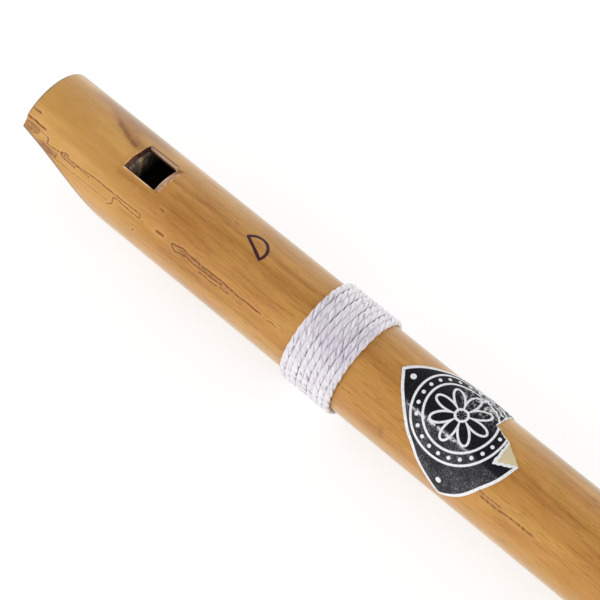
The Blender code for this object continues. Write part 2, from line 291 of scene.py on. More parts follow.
def distance_to_line(along, around, line):
    """How far each place on the skin lies from a line of points, all in millimetres."""
    nearest = np.full(np.shape(along), np.inf)
    for (a0, r0), (a1, r1) in zip(line, line[1:]):
        step_a, step_r = a1 - a0, r1 - r0
        share = np.clip(((along - a0) * step_a + (around - r0) * step_r) / (step_a**2 + step_r**2), 0, 1)
        nearest = np.minimum(nearest, np.hypot(along - a0 - share * step_a, around - r0 - share * step_r))
    return nearest


def new_object(name, mesh, materials=()):
    obj = bpy.data.objects.new(name, mesh)
    bpy.context.scene.collection.objects.link(obj)
    for material in materials:
        mesh.materials.append(material)
    return obj


def finish_mesh(mesh, smooth_angle=math.radians(40)):
    bm = bmesh.new()
    bm.from_mesh(mesh)
    bmesh.ops.recalc_face_normals(bm, faces=bm.faces)
    bm.to_mesh(mesh)
    bm.free()
    mesh.shade_smooth()
    mesh.set_sharp_from_angle(angle=smooth_angle)


def mesh_of(name, points, faces, smooth_angle=math.radians(40)):
    mesh = bpy.data.meshes.new(name)
    mesh.from_pydata(np.asarray(points).reshape(-1, 3).tolist(), [], faces)
    mesh.update()
    finish_mesh(mesh, smooth_angle)
    return mesh


def grid_faces(rows, columns, closed_rows=False, closed_columns=False):
    """Four-sided faces between rows of points, each row counted along its columns."""
    faces = []
    for row in range(rows if closed_rows else rows - 1):
        for column in range(columns if closed_columns else columns - 1):
            here = row * columns + column
            beside = row * columns + (column + 1) % columns
            above = (row + 1) % rows * columns + column
            above_beside = (row + 1) % rows * columns + (column + 1) % columns
            faces.append((here, beside, above_beside, above))
    return faces


def store(mesh, name, values):
    """Keeps one number for each point of a mesh, for its material to read."""
    attribute = mesh.attributes.new(name, "FLOAT", "POINT")
    attribute.data.foreach_set("value", np.asarray(values, np.float32))


def store_vector(mesh, name, values):
    attribute = mesh.attributes.new(name, "FLOAT_VECTOR", "POINT")
    attribute.data.foreach_set("vector", np.asarray(values, np.float32).ravel())


def mesh_points(mesh):
    points = np.empty(len(mesh.vertices) * 3, np.float32)
    mesh.vertices.foreach_get("co", points)
    return points.reshape(-1, 3).astype(float)


def set_mesh_points(mesh, points):
    mesh.vertices.foreach_set("co", np.asarray(points, np.float32).ravel())
    mesh.update()


def carve(obj, cutters, operation="DIFFERENCE"):
    """Cuts the object with the cutters, one after another, and clears the cutters away."""
    for cutter in cutters:
        modifier = obj.modifiers.new(cutter.name, "BOOLEAN")
        modifier.operation = operation
        modifier.object = cutter
        modifier.solver = "MANIFOLD"
    graph = bpy.context.evaluated_depsgraph_get()
    mesh = bpy.data.meshes.new_from_object(obj.evaluated_get(graph), depsgraph=graph)
    obj.modifiers.clear()
    obj.data = mesh
    for cutter in cutters:
        bpy.data.objects.remove(cutter)


def stacked_rings(name, rings, materials, slots):
    """A closed body from rings of points with flat ends. Slots holds the material slot of each side in turn,
    or one slot for the whole body."""
    sides = len(rings[0])
    faces = grid_faces(len(rings), sides, closed_columns=True)
    last = (len(rings) - 1) * sides
    faces.append(tuple(range(sides)))
    faces.append(tuple(range(last, last + sides)))
    mesh = mesh_of(name, [point for ring in rings for point in ring], faces)
    body = new_object(name, mesh, materials)
    per_side = np.resize(slots, sides)
    ends = [per_side[-1], per_side[-1]]
    mesh.polygons.foreach_set("material_index", np.append(np.tile(per_side, len(rings) - 1), ends).astype(np.int32))
    return body


def hole_along(index):
    return SOUNDING_EDGE_AT + FINGER_HOLES[index][0] * (TUBE_LENGTH - SOUNDING_EDGE_AT)


def hole_cutter(index, materials):
    """A bar whose top flares along the skin, so that the hole's rim is rounded all the way round."""
    radius = FINGER_HOLES[index][1] / 2
    turns = np.arange(HOLE_SIDES) * math.tau / HOLE_SIDES

    def ring(offset, height):
        x = hole_along(index) + (radius + offset) * np.cos(turns)
        y = (radius + offset) * np.sin(turns)
        return np.stack([x, y, np.sqrt(TUBE_RADIUS**2 - y**2) + height], -1)

    floor, top = ring(0, 0), ring(HOLE_RIM_ROUNDING, 0)
    floor[:, 2] = 0.0
    top[:, 2] = TUBE_RADIUS + OVERRUN
    arcs = [ring(HOLE_RIM_ROUNDING * (1 - math.cos(bend)), HOLE_RIM_ROUNDING * (math.sin(bend) - 1))
            for bend in np.linspace(0, RIM_BEND, RIM_RINGS)]
    rings = [floor, *arcs, ring(HOLE_RIM_ROUNDING, OVERRUN / 10), top]
    return stacked_rings(f"hole_cutter_{index + 1}", rings, materials, HOLE_WALL)


def window_cutter(materials):
    """The window in slices across the tube, so that its ramp is an even strip below the round skin."""
    floor, top = BORE_RADIUS / 2, TUBE_RADIUS + OVERRUN
    slices = []
    for y in np.linspace(-WINDOW_WIDTH / 2, WINDOW_WIDTH / 2, WINDOW_SLICES):
        edge_z = math.sqrt(BORE_RADIUS**2 - y**2) + SOUNDING_EDGE
        ramp_z = math.sqrt(TUBE_RADIUS**2 - y**2)
        slips = KNIFE_SLIP * uneven(y / MM, np.array([0.0, 30.0, 60.0]), 2.5, 11)
        mouth_wall = WINDOW_FROM_MOUTH + WINDOW_SLANT * y / WINDOW_WIDTH + slips[0]
        edge = SOUNDING_EDGE_AT + slips[1] / 2
        slope = (RAMP_RUN + RAMP_SLANT * y / WINDOW_WIDTH + slips[2]) / (ramp_z - edge_z)
        slices.append([(mouth_wall, y, floor), (mouth_wall, y, top), (edge + (top - edge_z) * slope, y, top),
                       (edge, y, edge_z), (edge, y, floor)])
    slots = (WINDOW_END_WALL, WINDOW_WALL, WINDOW_WALL, WINDOW_WALL, WINDOW_WALL)
    return stacked_rings("window_cutter", slices, materials, slots)


def side_prism(name, outline, half_width, materials, slots):
    """A prism whose (x, z) outline is seen from the side."""
    rings = [[(x, y, z) for x, z in outline] for y in (-half_width, half_width)]
    return stacked_rings(name, rings, materials, slots)


def drum_centre_z():
    tip = WINDWAY_FLOOR - BLOCK_TIP_THICKNESS
    return tip - math.sqrt(BEAK_DRUM_RADIUS**2 - BEAK_CROWN_BEFORE_MOUTH**2)


def beak_drum(materials, slot):
    turns = np.arange(BEAK_DRUM_SIDES) * math.tau / BEAK_DRUM_SIDES
    outline = [(-BEAK_CROWN_BEFORE_MOUTH + BEAK_DRUM_RADIUS * math.cos(turn),
                drum_centre_z() + BEAK_DRUM_RADIUS * math.sin(turn)) for turn in turns]
    return side_prism("beak_drum", outline, TUBE_RADIUS + OVERRUN, materials, slot)


# Node helpers

def fill(tree, socket, value):
    """Links a socket to another node's output, or sets its plain value."""
    if isinstance(value, bpy.types.NodeSocket):
        tree.links.new(value, socket)
    else:
        socket.default_value = value


def node(tree, kind, settings=None, **inputs):
    """Adds a node with its settings and fills the inputs that are named."""
    made = tree.nodes.new(kind)
    for key, value in (settings or {}).items():
        setattr(made, key, value)
    for key, value in inputs.items():
        wanted = key.replace("_", " ")
        fill(tree, next(s for s in made.inputs if s.name.lower() == wanted and s.enabled), value)
    return made


def calculate(tree, operation, *values, kind="ShaderNodeMath"):
    made = node(tree, kind, {"operation": operation})
    for socket, value in zip(made.inputs, values):
        fill(tree, socket, value)
    return made.outputs[0]


def calculate_vector(tree, operation, *values):
    return calculate(tree, operation, *values, kind="ShaderNodeVectorMath")


def blend(tree, share, first, second, kind="MIX"):
    made = node(tree, "ShaderNodeMix", {"data_type": "RGBA", "blend_type": kind, "clamp_factor": True})
    fill(tree, made.inputs[0], share)
    for socket, value in ((made.inputs[6], first), (made.inputs[7], second)):
        fill(tree, socket, (*value, 1.0) if isinstance(value, tuple) else value)
    return made.outputs[2]


def step_between(tree, value, low, high, start=0.0, end=1.0):
    made = node(tree, "ShaderNodeMapRange", {"interpolation_type": "SMOOTHSTEP"}, value=value, from_min=low,
                from_max=high, to_min=start, to_max=end)
    return made.outputs[0]


def read(tree, name, output="Fac"):
    return node(tree, "ShaderNodeAttribute", {"attribute_name": name}).outputs[output]


def new_group(name, inputs, outputs):
    """An empty shader node group with named number sockets, and its inner ends."""
    group = bpy.data.node_groups.new(name, "ShaderNodeTree")
    for socket_name, value in inputs.items():
        socket = group.interface.new_socket(socket_name, in_out="INPUT", socket_type="NodeSocketFloat")
        socket.default_value = value
    for socket_name in outputs:
        group.interface.new_socket(socket_name, in_out="OUTPUT", socket_type="NodeSocketFloat")
    return group, group.nodes.new("NodeGroupInput").outputs, group.nodes.new("NodeGroupOutput").inputs


def placed(tree, group, **values):
    return node(tree, "ShaderNodeGroup", {"node_tree": group}, **values).outputs


# Effects that several materials share

def grain_group():
    """Noise drawn out along the tube as grain is: its value, and a mask of its high places."""
    group, given, result = new_group(
        "drawn_out_grain",
        {"Along": 50.0, "Across": 1000.0, "Detail": 3.0, "Roughness": 0.55, "Wander": 0.0, "Seed": 0.0,
         "Low": 0.4, "High": 0.7, "Amount": 1.0},
        ("Value", "Mask"))
    place = node(group, "ShaderNodeTexCoord").outputs["Object"]
    drift = node(group, "ShaderNodeTexNoise", vector=place, scale=45.0, detail=1.0).outputs["Color"]
    drift = calculate_vector(group, "SUBTRACT", drift, (0.5, 0.5, 0.5))
    drift = node(group, "ShaderNodeVectorMath", {"operation": "SCALE"}, vector=drift, scale=given["Wander"])
    place = calculate_vector(group, "ADD", place, drift.outputs[0])
    rates = node(group, "ShaderNodeCombineXYZ", x=given["Along"], y=given["Across"], z=given["Across"])
    place = calculate_vector(group, "MULTIPLY", place, rates.outputs[0])
    place = calculate_vector(group, "ADD", place, given["Seed"])
    noise = node(group, "ShaderNodeTexNoise", vector=place, scale=1.0, detail=given["Detail"],
                 roughness=given["Roughness"]).outputs["Fac"]
    fill(group, result["Value"], noise)
    mask = step_between(group, noise, given["Low"], given["High"])
    fill(group, result["Mask"], calculate(group, "MULTIPLY", mask, given["Amount"]))
    return group


def bundle_group():
    """The hard bundles in cut bamboo: lines along the grain, and dots where it is cut across."""
    group, given, result = new_group("bamboo_bundles", {"Across": 1500.0, "Size": 0.3, "Amount": 1.0}, ("Mask",))
    place = node(group, "ShaderNodeTexCoord").outputs["Object"]
    rates = node(group, "ShaderNodeCombineXYZ", x=12.0, y=given["Across"], z=given["Across"])
    place = calculate_vector(group, "MULTIPLY", place, rates.outputs[0])
    cells = node(group, "ShaderNodeTexVoronoi", vector=place, scale=1.0).outputs["Distance"]
    mask = step_between(group, cells, calculate(group, "MULTIPLY", given["Size"], 0.5), given["Size"], 1.0, 0.0)
    fill(group, result["Mask"], calculate(group, "MULTIPLY", mask, given["Amount"]))
    return group


def line_group():
    """A printed or inked line: 1 within half a width of the middle, with an edge as soft as asked."""
    group, given, result = new_group(
        "drawn_line", {"Value": 0.0, "Middle": 0.0, "Half Width": 1.0, "Softness": 0.1}, ("Mask",))
    away = calculate(group, "ABSOLUTE", calculate(group, "SUBTRACT", given["Value"], given["Middle"]))
    near = calculate(group, "SUBTRACT", given["Half Width"], given["Softness"])
    far = calculate(group, "ADD", given["Half Width"], given["Softness"])
    fill(group, result["Mask"], step_between(group, away, near, far, 1.0, 0.0))
    return group


# Materials

def new_material(name):
    material = bpy.data.materials.new(name)
    material.use_nodes = True
    return material, material.node_tree, material.node_tree.nodes["Principled BSDF"]


def bump(tree, shader, height, distance, strength=1.0):
    made = node(tree, "ShaderNodeBump", height=height, distance=distance, strength=strength)
    fill(tree, shader.inputs["Normal"], made.outputs[0])


def edge_masks(tree, line):
    """Where the skin is pale round the window, a painted highlight on worn front edges, dark along its back edge, and
    darker at the tube's ends and the beak's edge.
    """
    place = node(tree, "ShaderNodeTexCoord").outputs["Object"]
    x, y, z = node(tree, "ShaderNodeSeparateXYZ", vector=place).outputs
    noise = node(tree, "ShaderNodeTexNoise", vector=place, scale=900.0, detail=2.0).outputs["Fac"]
    chatter = calculate(tree, "MULTIPLY", calculate(tree, "SUBTRACT", noise, 0.5), EDGE_CHATTER)
    along = calculate(tree, "MULTIPLY_ADD", y, -WINDOW_SLANT / WINDOW_WIDTH, x)
    from_wall = calculate(tree, "SUBTRACT", along, MOUTH_X + WINDOW_FROM_MOUTH)
    past_side = calculate(tree, "SUBTRACT", calculate(tree, "ABSOLUTE", y), WINDOW_WIDTH / 2)
    above = step_between(tree, z, AXIS_Z, AXIS_Z + TUBE_RADIUS / 2)
    in_length = placed(tree, line, value=from_wall, middle=WINDOW_LENGTH / 2, half_width=WINDOW_LENGTH / 2,
                       softness=0.0003)["Mask"]
    in_width = step_between(tree, past_side, 0.0, 0.0002, 1.0, 0.0)
    sides = placed(tree, line, value=calculate(tree, "ADD", past_side, chatter), middle=0.00012,
                   half_width=0.00017, softness=0.00010)["Mask"]
    sides = calculate(tree, "MULTIPLY", calculate(tree, "MULTIPLY", sides, in_length), above)
    mouth_side = placed(tree, line, value=calculate(tree, "ADD", from_wall, chatter), middle=-0.00010,
                        half_width=0.00012, softness=0.00010)["Mask"]
    mouth_side = calculate(tree, "MULTIPLY", calculate(tree, "MULTIPLY", mouth_side, in_width), above)
    # Painted highlight, partly wear: the window's front edges and mouth-side edge turn paler.
    front = step_between(tree, y, -0.0005, 0.0005, 1.0, 0.0)
    worn_and_lit = calculate(tree, "MAXIMUM", calculate(tree, "MULTIPLY", sides, front),
                     calculate(tree, "MULTIPLY", mouth_side, 0.4))
    pale = calculate(tree, "MULTIPLY", worn_and_lit, step_between(tree, noise, 0.38, 0.56, 0.25, 0.80))
    back = placed(tree, line, value=calculate(tree, "ADD", y, chatter), middle=WINDOW_WIDTH / 2 + 0.00016,
                  half_width=0.00026, softness=0.00012)["Mask"]
    dark = calculate(tree, "MULTIPLY", calculate(tree, "MULTIPLY", back, in_length), above)
    # Darker at the tube's ends and along the beak's edge.
    length_share = calculate(tree, "ADD", calculate(tree, "ABSOLUTE", x), chatter)
    ends = placed(tree, line, value=length_share, middle=TUBE_LENGTH / 2, half_width=0.00045, softness=0.00020)
    drum_x = calculate(tree, "SUBTRACT", x, MOUTH_X - BEAK_CROWN_BEFORE_MOUTH)
    drum_z = calculate(tree, "SUBTRACT", z, AXIS_Z + drum_centre_z())
    squares = calculate(tree, "MULTIPLY_ADD", drum_x, drum_x, calculate(tree, "MULTIPLY", drum_z, drum_z))
    from_drum = calculate(tree, "ADD", calculate(tree, "SQRT", squares), chatter)
    beak = placed(tree, line, value=from_drum, middle=BEAK_DRUM_RADIUS, half_width=0.00040, softness=0.00020)
    dark_edges = calculate(tree, "MULTIPLY", calculate(tree, "MAXIMUM", ends["Mask"], beak["Mask"]), 0.85)
    return pale, dark, dark_edges


def skin_material(grain, line):
    """Oiled bamboo skin: cloudy gold, darker streaks, fine fibres and flecks, with scars, stains and ink, painted
    shade along its back side and a painted highlight round the window.
    """
    material, tree, shader = new_material("bamboo_skin")
    clouds = placed(tree, grain, along=30, across=210, detail=2, wander=0.004, seed=2, low=0.34, high=0.66)
    bands = placed(tree, grain, along=22, across=480, detail=3, wander=0.003, seed=7, low=0.50, high=0.70,
                   amount=0.40)
    streaks = placed(tree, grain, along=80, across=1400, detail=4, wander=0.002, seed=13, low=0.53, high=0.68,
                     amount=0.42)
    fibres = placed(tree, grain, along=210, across=4000, detail=3, seed=5, low=0.40, high=0.66, amount=0.75)
    flecks = placed(tree, grain, along=330, across=2900, detail=2, seed=9, low=0.60, high=0.70, amount=0.55)
    mottle = placed(tree, grain, along=260, across=340, detail=3, seed=17, low=0.40, high=0.62)
    tone = read(tree, "tone")
    golden = blend(tree, clouds["Mask"], (0.535, 0.263, 0.066), (0.625, 0.332, 0.096))
    deeper = blend(tree, clouds["Mask"], (0.462, 0.203, 0.042), (0.545, 0.266, 0.064))
    base = blend(tree, tone, golden, deeper)
    figured = calculate(tree, "MULTIPLY_ADD", tone, 0.7, 0.3)
    base = blend(tree, calculate(tree, "MULTIPLY", bands["Mask"], figured), base, (0.74, 0.58, 0.44), "MULTIPLY")
    base = blend(tree, calculate(tree, "MULTIPLY", streaks["Mask"], figured), base, (0.74, 0.58, 0.44), "MULTIPLY")
    shine = calculate(tree, "MULTIPLY", fibres["Mask"], calculate(tree, "MULTIPLY_ADD", tone, 0.5, 0.5))
    base = blend(tree, shine, base, (1.14, 1.17, 1.22), "MULTIPLY")
    base = blend(tree, calculate(tree, "MULTIPLY", flecks["Mask"], figured), base, (0.60, 0.42, 0.30), "MULTIPLY")
    base = blend(tree, calculate(tree, "MULTIPLY", mottle["Mask"], 0.7), base, (0.94, 0.99, 0.78), "MULTIPLY")
    base = blend(tree, read(tree, "dull"), base, (0.28, 0.105, 0.045))
    # Stains, and painted shade along the back side of the tube
    base = blend(tree, read(tree, "stain_and_shade"), base, (0.43, 0.255, 0.16), "MULTIPLY")
    base = blend(tree, read(tree, "lip"), base, (0.80, 0.50, 0.26))
    base = blend(tree, step_between(tree, read(tree, "scar"), 0.08, 0.82), base, (0.205, 0.062, 0.003))
    rim_highlight_and_wear, dark_rim, dark_edges = edge_masks(tree, line)
    # Painted highlight, partly wear, round the window's front edges
    base = blend(tree, rim_highlight_and_wear, base, (0.76, 0.52, 0.33))
    base = blend(tree, dark_rim, base, (0.20, 0.070, 0.028))
    base = blend(tree, dark_edges, base, (0.22, 0.155, 0.105))
    inked = placed(tree, line, value=read(tree, "ink"), half_width=1.0, softness=0.12)
    base = blend(tree, inked["Mask"], base, (0.040, 0.001, 0.014))
    fill(tree, shader.inputs["Base Color"], base)
    rough = node(tree, "ShaderNodeMapRange", value=streaks["Value"], to_min=0.34, to_max=0.56)
    fill(tree, shader.inputs["Roughness"], rough.outputs[0])
    shader.inputs["Specular IOR Level"].default_value = 0.12
    fill(tree, shader.inputs["Coat Weight"], calculate(tree, "SUBTRACT", 1.0, inked["Mask"]))
    shader.inputs["Coat IOR"].default_value = 1.25
    shader.inputs["Coat Roughness"].default_value = 0.25
    shader.inputs["Sheen Weight"].default_value = 0.50
    shader.inputs["Sheen Roughness"].default_value = 0.47
    shader.inputs["Sheen Tint"].default_value = (1.0, 0.94, 0.76, 1.0)
    bump(tree, shader, calculate(tree, "SUBTRACT", fibres["Value"], flecks["Mask"]), 0.00003, 0.6)
    return material


def cut_material(name, grain, bundles, pale, dark, darkness, bundle_amount=0.5):
    """Bamboo that was cut: duller than the skin, with fibres, darker bundles and grubby patches."""
    material, tree, shader = new_material(name)
    fibres = placed(tree, grain, along=150, across=3600, detail=4, roughness=0.65, seed=3, low=0.35, high=0.70)
    patches = placed(tree, grain, along=230, across=420, detail=3, seed=8, low=0.42, high=0.66, amount=darkness)
    lines = placed(tree, bundles, across=1700, size=0.42, amount=bundle_amount)
    base = blend(tree, fibres["Mask"], pale, dark)
    base = blend(tree, lines["Mask"], base, (0.42, 0.32, 0.26), "MULTIPLY")
    base = blend(tree, patches["Mask"], base, (0.34, 0.24, 0.22), "MULTIPLY")
    fill(tree, shader.inputs["Base Color"], base)
    shader.inputs["Roughness"].default_value = 0.70
    shader.inputs["Specular IOR Level"].default_value = 0.15
    bump(tree, shader, calculate(tree, "SUBTRACT", fibres["Value"], lines["Mask"]), 0.00008, 0.8)
    return material


def paint_over(material, share, colour):
    """Blends one more colour over what the material's base colour already is."""
    tree = material.node_tree
    socket = tree.nodes["Principled BSDF"].inputs["Base Color"]
    fill(tree, socket, blend(tree, share, socket.links[0].from_socket, colour))


def window_wall_material(grain, bundles, line):
    """The window's side walls and ramp: a painted highlight on the sounding edge, blotched and browner at the back of
    the ramp, and painted shade deep down by the bore.
    """
    material = cut_material("window_wall", grain, bundles, (0.80, 0.55, 0.39), (0.60, 0.38, 0.25), 0.30, 0.25)
    tree = material.node_tree
    place = node(tree, "ShaderNodeTexCoord").outputs["Object"]
    x, y, z = node(tree, "ShaderNodeSeparateXYZ", vector=place).outputs
    on_ramp = step_between(tree, x, MOUTH_X + SOUNDING_EDGE_AT, MOUTH_X + SOUNDING_EDGE_AT + 0.0004)
    paint_over(material, calculate(tree, "MULTIPLY", on_ramp, 0.8), (0.62, 0.38, 0.22))
    blotches = placed(tree, grain, along=1100, across=900, detail=3, seed=19, low=0.42, high=0.60, amount=0.80)
    paint_over(material, calculate(tree, "MULTIPLY", on_ramp, blotches["Mask"]), (0.38, 0.18, 0.105))
    back = step_between(tree, y, 0.30 * WINDOW_WIDTH, 0.42 * WINDOW_WIDTH)
    paint_over(material, calculate(tree, "MULTIPLY", on_ramp, back), (0.46, 0.26, 0.10))
    squares = calculate(tree, "MULTIPLY", y, y)
    height = calculate(tree, "SUBTRACT", z, AXIS_Z)
    radius = calculate(tree, "SQRT", calculate(tree, "MULTIPLY_ADD", height, height, squares))
    # Painted shade: the walls and the foot of the ramp darken towards the bore.
    deep_painted_shade = step_between(tree, radius, BORE_RADIUS + 0.0001, BORE_RADIUS + 1.6 * SOUNDING_EDGE, 0.85, 0.0)
    paint_over(material, deep_painted_shade, (0.11, 0.035, 0.014))
    # Painted shade: a dark band deep on the side walls, before the ramp.
    wall_painted_shade = step_between(tree, radius, BORE_RADIUS + 0.0004, BORE_RADIUS + 0.0010, 0.92, 0.0)
    before_ramp = step_between(tree, x, MOUTH_X + SOUNDING_EDGE_AT - 0.0005, MOUTH_X + SOUNDING_EDGE_AT, 1.0, 0.0)
    paint_over(material, calculate(tree, "MULTIPLY", before_ramp, wall_painted_shade), (0.10, 0.028, 0.012))
    # Painted highlight: a pale line along the sounding edge, stronger at the front.
    edge = placed(tree, line, value=x, middle=MOUTH_X + SOUNDING_EDGE_AT, half_width=0.00022, softness=0.0001)
    frontward = step_between(tree, y, 0.1 * WINDOW_WIDTH, 0.4 * WINDOW_WIDTH, 0.75, 0.25)
    paint_over(material, calculate(tree, "MULTIPLY", edge["Mask"], frontward), (0.80, 0.70, 0.58))
    return material


def window_end_material(grain, bundles):
    """The window's end above the block: reddish brown with pale specks at the front, its dark tones partly painted
    shade, and painted shade making it nearly black at the back.
    """
    # The dark reddish browns stand partly for the shade this wall lies in.
    material = cut_material("window_end_wall", grain, bundles, (0.27, 0.085, 0.036), (0.10, 0.028, 0.014), 0.80)
    tree = material.node_tree
    place = node(tree, "ShaderNodeTexCoord").outputs["Object"]
    y = node(tree, "ShaderNodeSeparateXYZ", vector=place).outputs["Y"]
    specks = placed(tree, grain, along=1300, across=1300, detail=3, seed=21, low=0.50, high=0.62, amount=0.75)
    paint_over(material, specks["Mask"], (0.30, 0.20, 0.185))
    # Painted shade: darker towards the back, nearly black there.
    backward_shade = step_between(tree, y, -0.15 * WINDOW_WIDTH, 0.30 * WINDOW_WIDTH, 0.0, 0.85)
    paint_over(material, backward_shade, (0.05, 0.019, 0.013))
    return material


def block_end_material(grain, bundles, line):
    """The block's inner end: dark wood with one pale saw stroke among fainter ones, and painted shade that darkens it
    the deeper it goes.
    """
    material = cut_material("block_end", grain, bundles, (0.30, 0.225, 0.195), (0.13, 0.095, 0.080), 0.6, 0.3)
    tree = material.node_tree
    place = node(tree, "ShaderNodeTexCoord").outputs["Object"]
    _, y, z = node(tree, "ShaderNodeSeparateXYZ", vector=place).outputs
    height = calculate(tree, "SUBTRACT", z, AXIS_Z)
    across = calculate(tree, "MULTIPLY_ADD", height, -BLOCK_STROKE_LEAN, y)
    leaning = node(tree, "ShaderNodeCombineXYZ", y=across, z=height).outputs[0]
    rates = calculate_vector(tree, "MULTIPLY", leaning, (1.0, 1700.0, 300.0))
    strokes = node(tree, "ShaderNodeTexNoise", vector=rates, scale=1.0, detail=4.0).outputs["Fac"]
    faint = calculate(tree, "MULTIPLY", step_between(tree, strokes, 0.46, 0.64), 0.50)
    paint_over(material, faint, (0.70, 0.56, 0.40))
    below = step_between(tree, height, BLOCK_STROKE_TOP, WINDWAY_FLOOR, 1.0, 0.0)
    paint_over(material, calculate(tree, "MULTIPLY_ADD", below, -0.55, 0.55), (0.085, 0.055, 0.055))
    stroke = placed(tree, line, value=across, middle=BLOCK_STROKE_AT, half_width=0.00055, softness=0.00045)
    strong = calculate(tree, "MULTIPLY", stroke["Mask"], step_between(tree, strokes, 0.30, 0.50, 0.55, 1.0))
    paint_over(material, calculate(tree, "MULTIPLY", strong, below), (0.90, 0.70, 0.38))
    # Painted shade: near black the deeper the block's end goes into the bore.
    depth = step_between(tree, height, BLOCK_END_SHADE_FROM, BLOCK_END_SHADE_TO)
    paint_over(material, depth, (0.014, 0.009, 0.006))
    return material


def cord_material(grain):
    """White twisted cord: fine filaments along each ply, patches of soil, painted shade on its top leaning to the
    front, and painted shade in between.
    """
    material, tree, shader = new_material("twisted_cord")
    place = read(tree, "ply_place", "Vector")
    stretched = node(tree, "ShaderNodeMapping", vector=place, scale=(650, 3200, 1000)).outputs[0]
    filaments = node(tree, "ShaderNodeTexNoise", vector=stretched, scale=1.0, detail=4).outputs["Fac"]
    soil = placed(tree, grain, along=420, across=420, detail=3, seed=4, low=0.46, high=0.70, amount=0.30)
    cloud = placed(tree, grain, along=110, across=150, detail=2, seed=14, low=0.42, high=0.62)
    base = blend(tree, step_between(tree, filaments, 0.32, 0.64), (0.67, 0.64, 0.695), (0.965, 0.945, 0.975))
    base = blend(tree, soil["Mask"], base, (0.84, 0.78, 0.79), "MULTIPLY")
    # Painted shade: darker on the top of each binding, leaning towards the front.
    world_place = node(tree, "ShaderNodeTexCoord").outputs["Object"]
    _, y, z = node(tree, "ShaderNodeSeparateXYZ", vector=world_place).outputs
    facing = calculate(tree, "MULTIPLY_ADD", y, -CORD_SHADE_LEAN, z)
    faces_up_front = step_between(tree, facing, AXIS_Z + 0.73 * TUBE_RADIUS, AXIS_Z + 1.09 * TUBE_RADIUS)
    top_shade = calculate(tree, "MULTIPLY", faces_up_front, calculate(tree, "MULTIPLY_ADD", cloud["Mask"], 0.5, 0.5))
    base = blend(tree, top_shade, base, (0.82, 0.79, 0.835), "MULTIPLY")
    # Painted shade where the plies turn inward, broken into dashes
    broken = step_between(tree, soil["Value"], 0.42, 0.58, 1.0, 0.15)
    shade = calculate(tree, "MULTIPLY", read(tree, "shade"), broken)
    base = blend(tree, shade, base, (0.40, 0.33, 0.41), "MULTIPLY")
    fill(tree, shader.inputs["Base Color"], base)
    shader.inputs["Roughness"].default_value = 0.50
    shader.inputs["Sheen Weight"].default_value = 0.90
    shader.inputs["Sheen Roughness"].default_value = 0.45
    bump(tree, shader, filaments, 0.00006, 0.6)
    return material


def label_print(tree, line):
    """The white print: a border, two circles with beads between them, a rosette and a bead in each tip."""
    place = node(tree, "ShaderNodeSeparateXYZ", vector=read(tree, "label_place", "Vector"))
    across, up, rim = place.outputs

    def length_of(first, second):
        squares = calculate(tree, "MULTIPLY_ADD", first, first, calculate(tree, "MULTIPLY", second, second))
        return calculate(tree, "SQRT", squares)

    reach = length_of(across, up)
    turn = calculate(tree, "ARCTAN2", up, across)
    leaf_turn = calculate(tree, "MULTIPLY", turn, 4.0)
    leaf = calculate(tree, "ABSOLUTE", calculate(tree, "COSINE", leaf_turn))
    leaf_edge = calculate(tree, "MULTIPLY_ADD", leaf, 3.9, 2.3)
    steep = calculate(tree, "DIVIDE", calculate(tree, "MULTIPLY", calculate(tree, "SINE", leaf_turn), 15.6), reach)
    leaf_away = calculate(tree, "DIVIDE", calculate(tree, "SUBTRACT", reach, leaf_edge), length_of(steep, 1.0))
    leaf_away = calculate(tree, "ADD", leaf_away, step_between(tree, reach, 1.3, 1.6, 1.0, 0.0))
    sector = calculate(tree, "MULTIPLY", turn, 24 / math.tau)
    beside = calculate(tree, "SUBTRACT", calculate(tree, "FRACT", sector), 0.5)
    bead = length_of(calculate(tree, "SUBTRACT", reach, 8.7), calculate(tree, "MULTIPLY", beside, 8.7 * math.tau / 24))
    long_tip = length_of(calculate(tree, "SUBTRACT", calculate(tree, "ABSOLUTE", across), 12.2), up)
    shifted = calculate(tree, "SUBTRACT", across, 3.9)
    side_tip = length_of(shifted, calculate(tree, "SUBTRACT", calculate(tree, "ABSOLUTE", up), 13.4))
    marks = (
        (rim, 0.28, 0.34),
        (reach, 9.9, 0.24),
        (reach, 7.5, 0.24),
        (leaf_away, 0.0, 0.24),
        (reach, 1.3, 0.26),
        (bead, 0.0, 0.40),
        (long_tip, 0.0, 0.62),
        (side_tip, 0.0, 0.62),
    )
    white = 0.0
    for value, middle, half_width in marks:
        mark = placed(tree, line, value=value, middle=middle, half_width=half_width, softness=0.06)
        white = calculate(tree, "MAXIMUM", white, mark["Mask"])
    return white


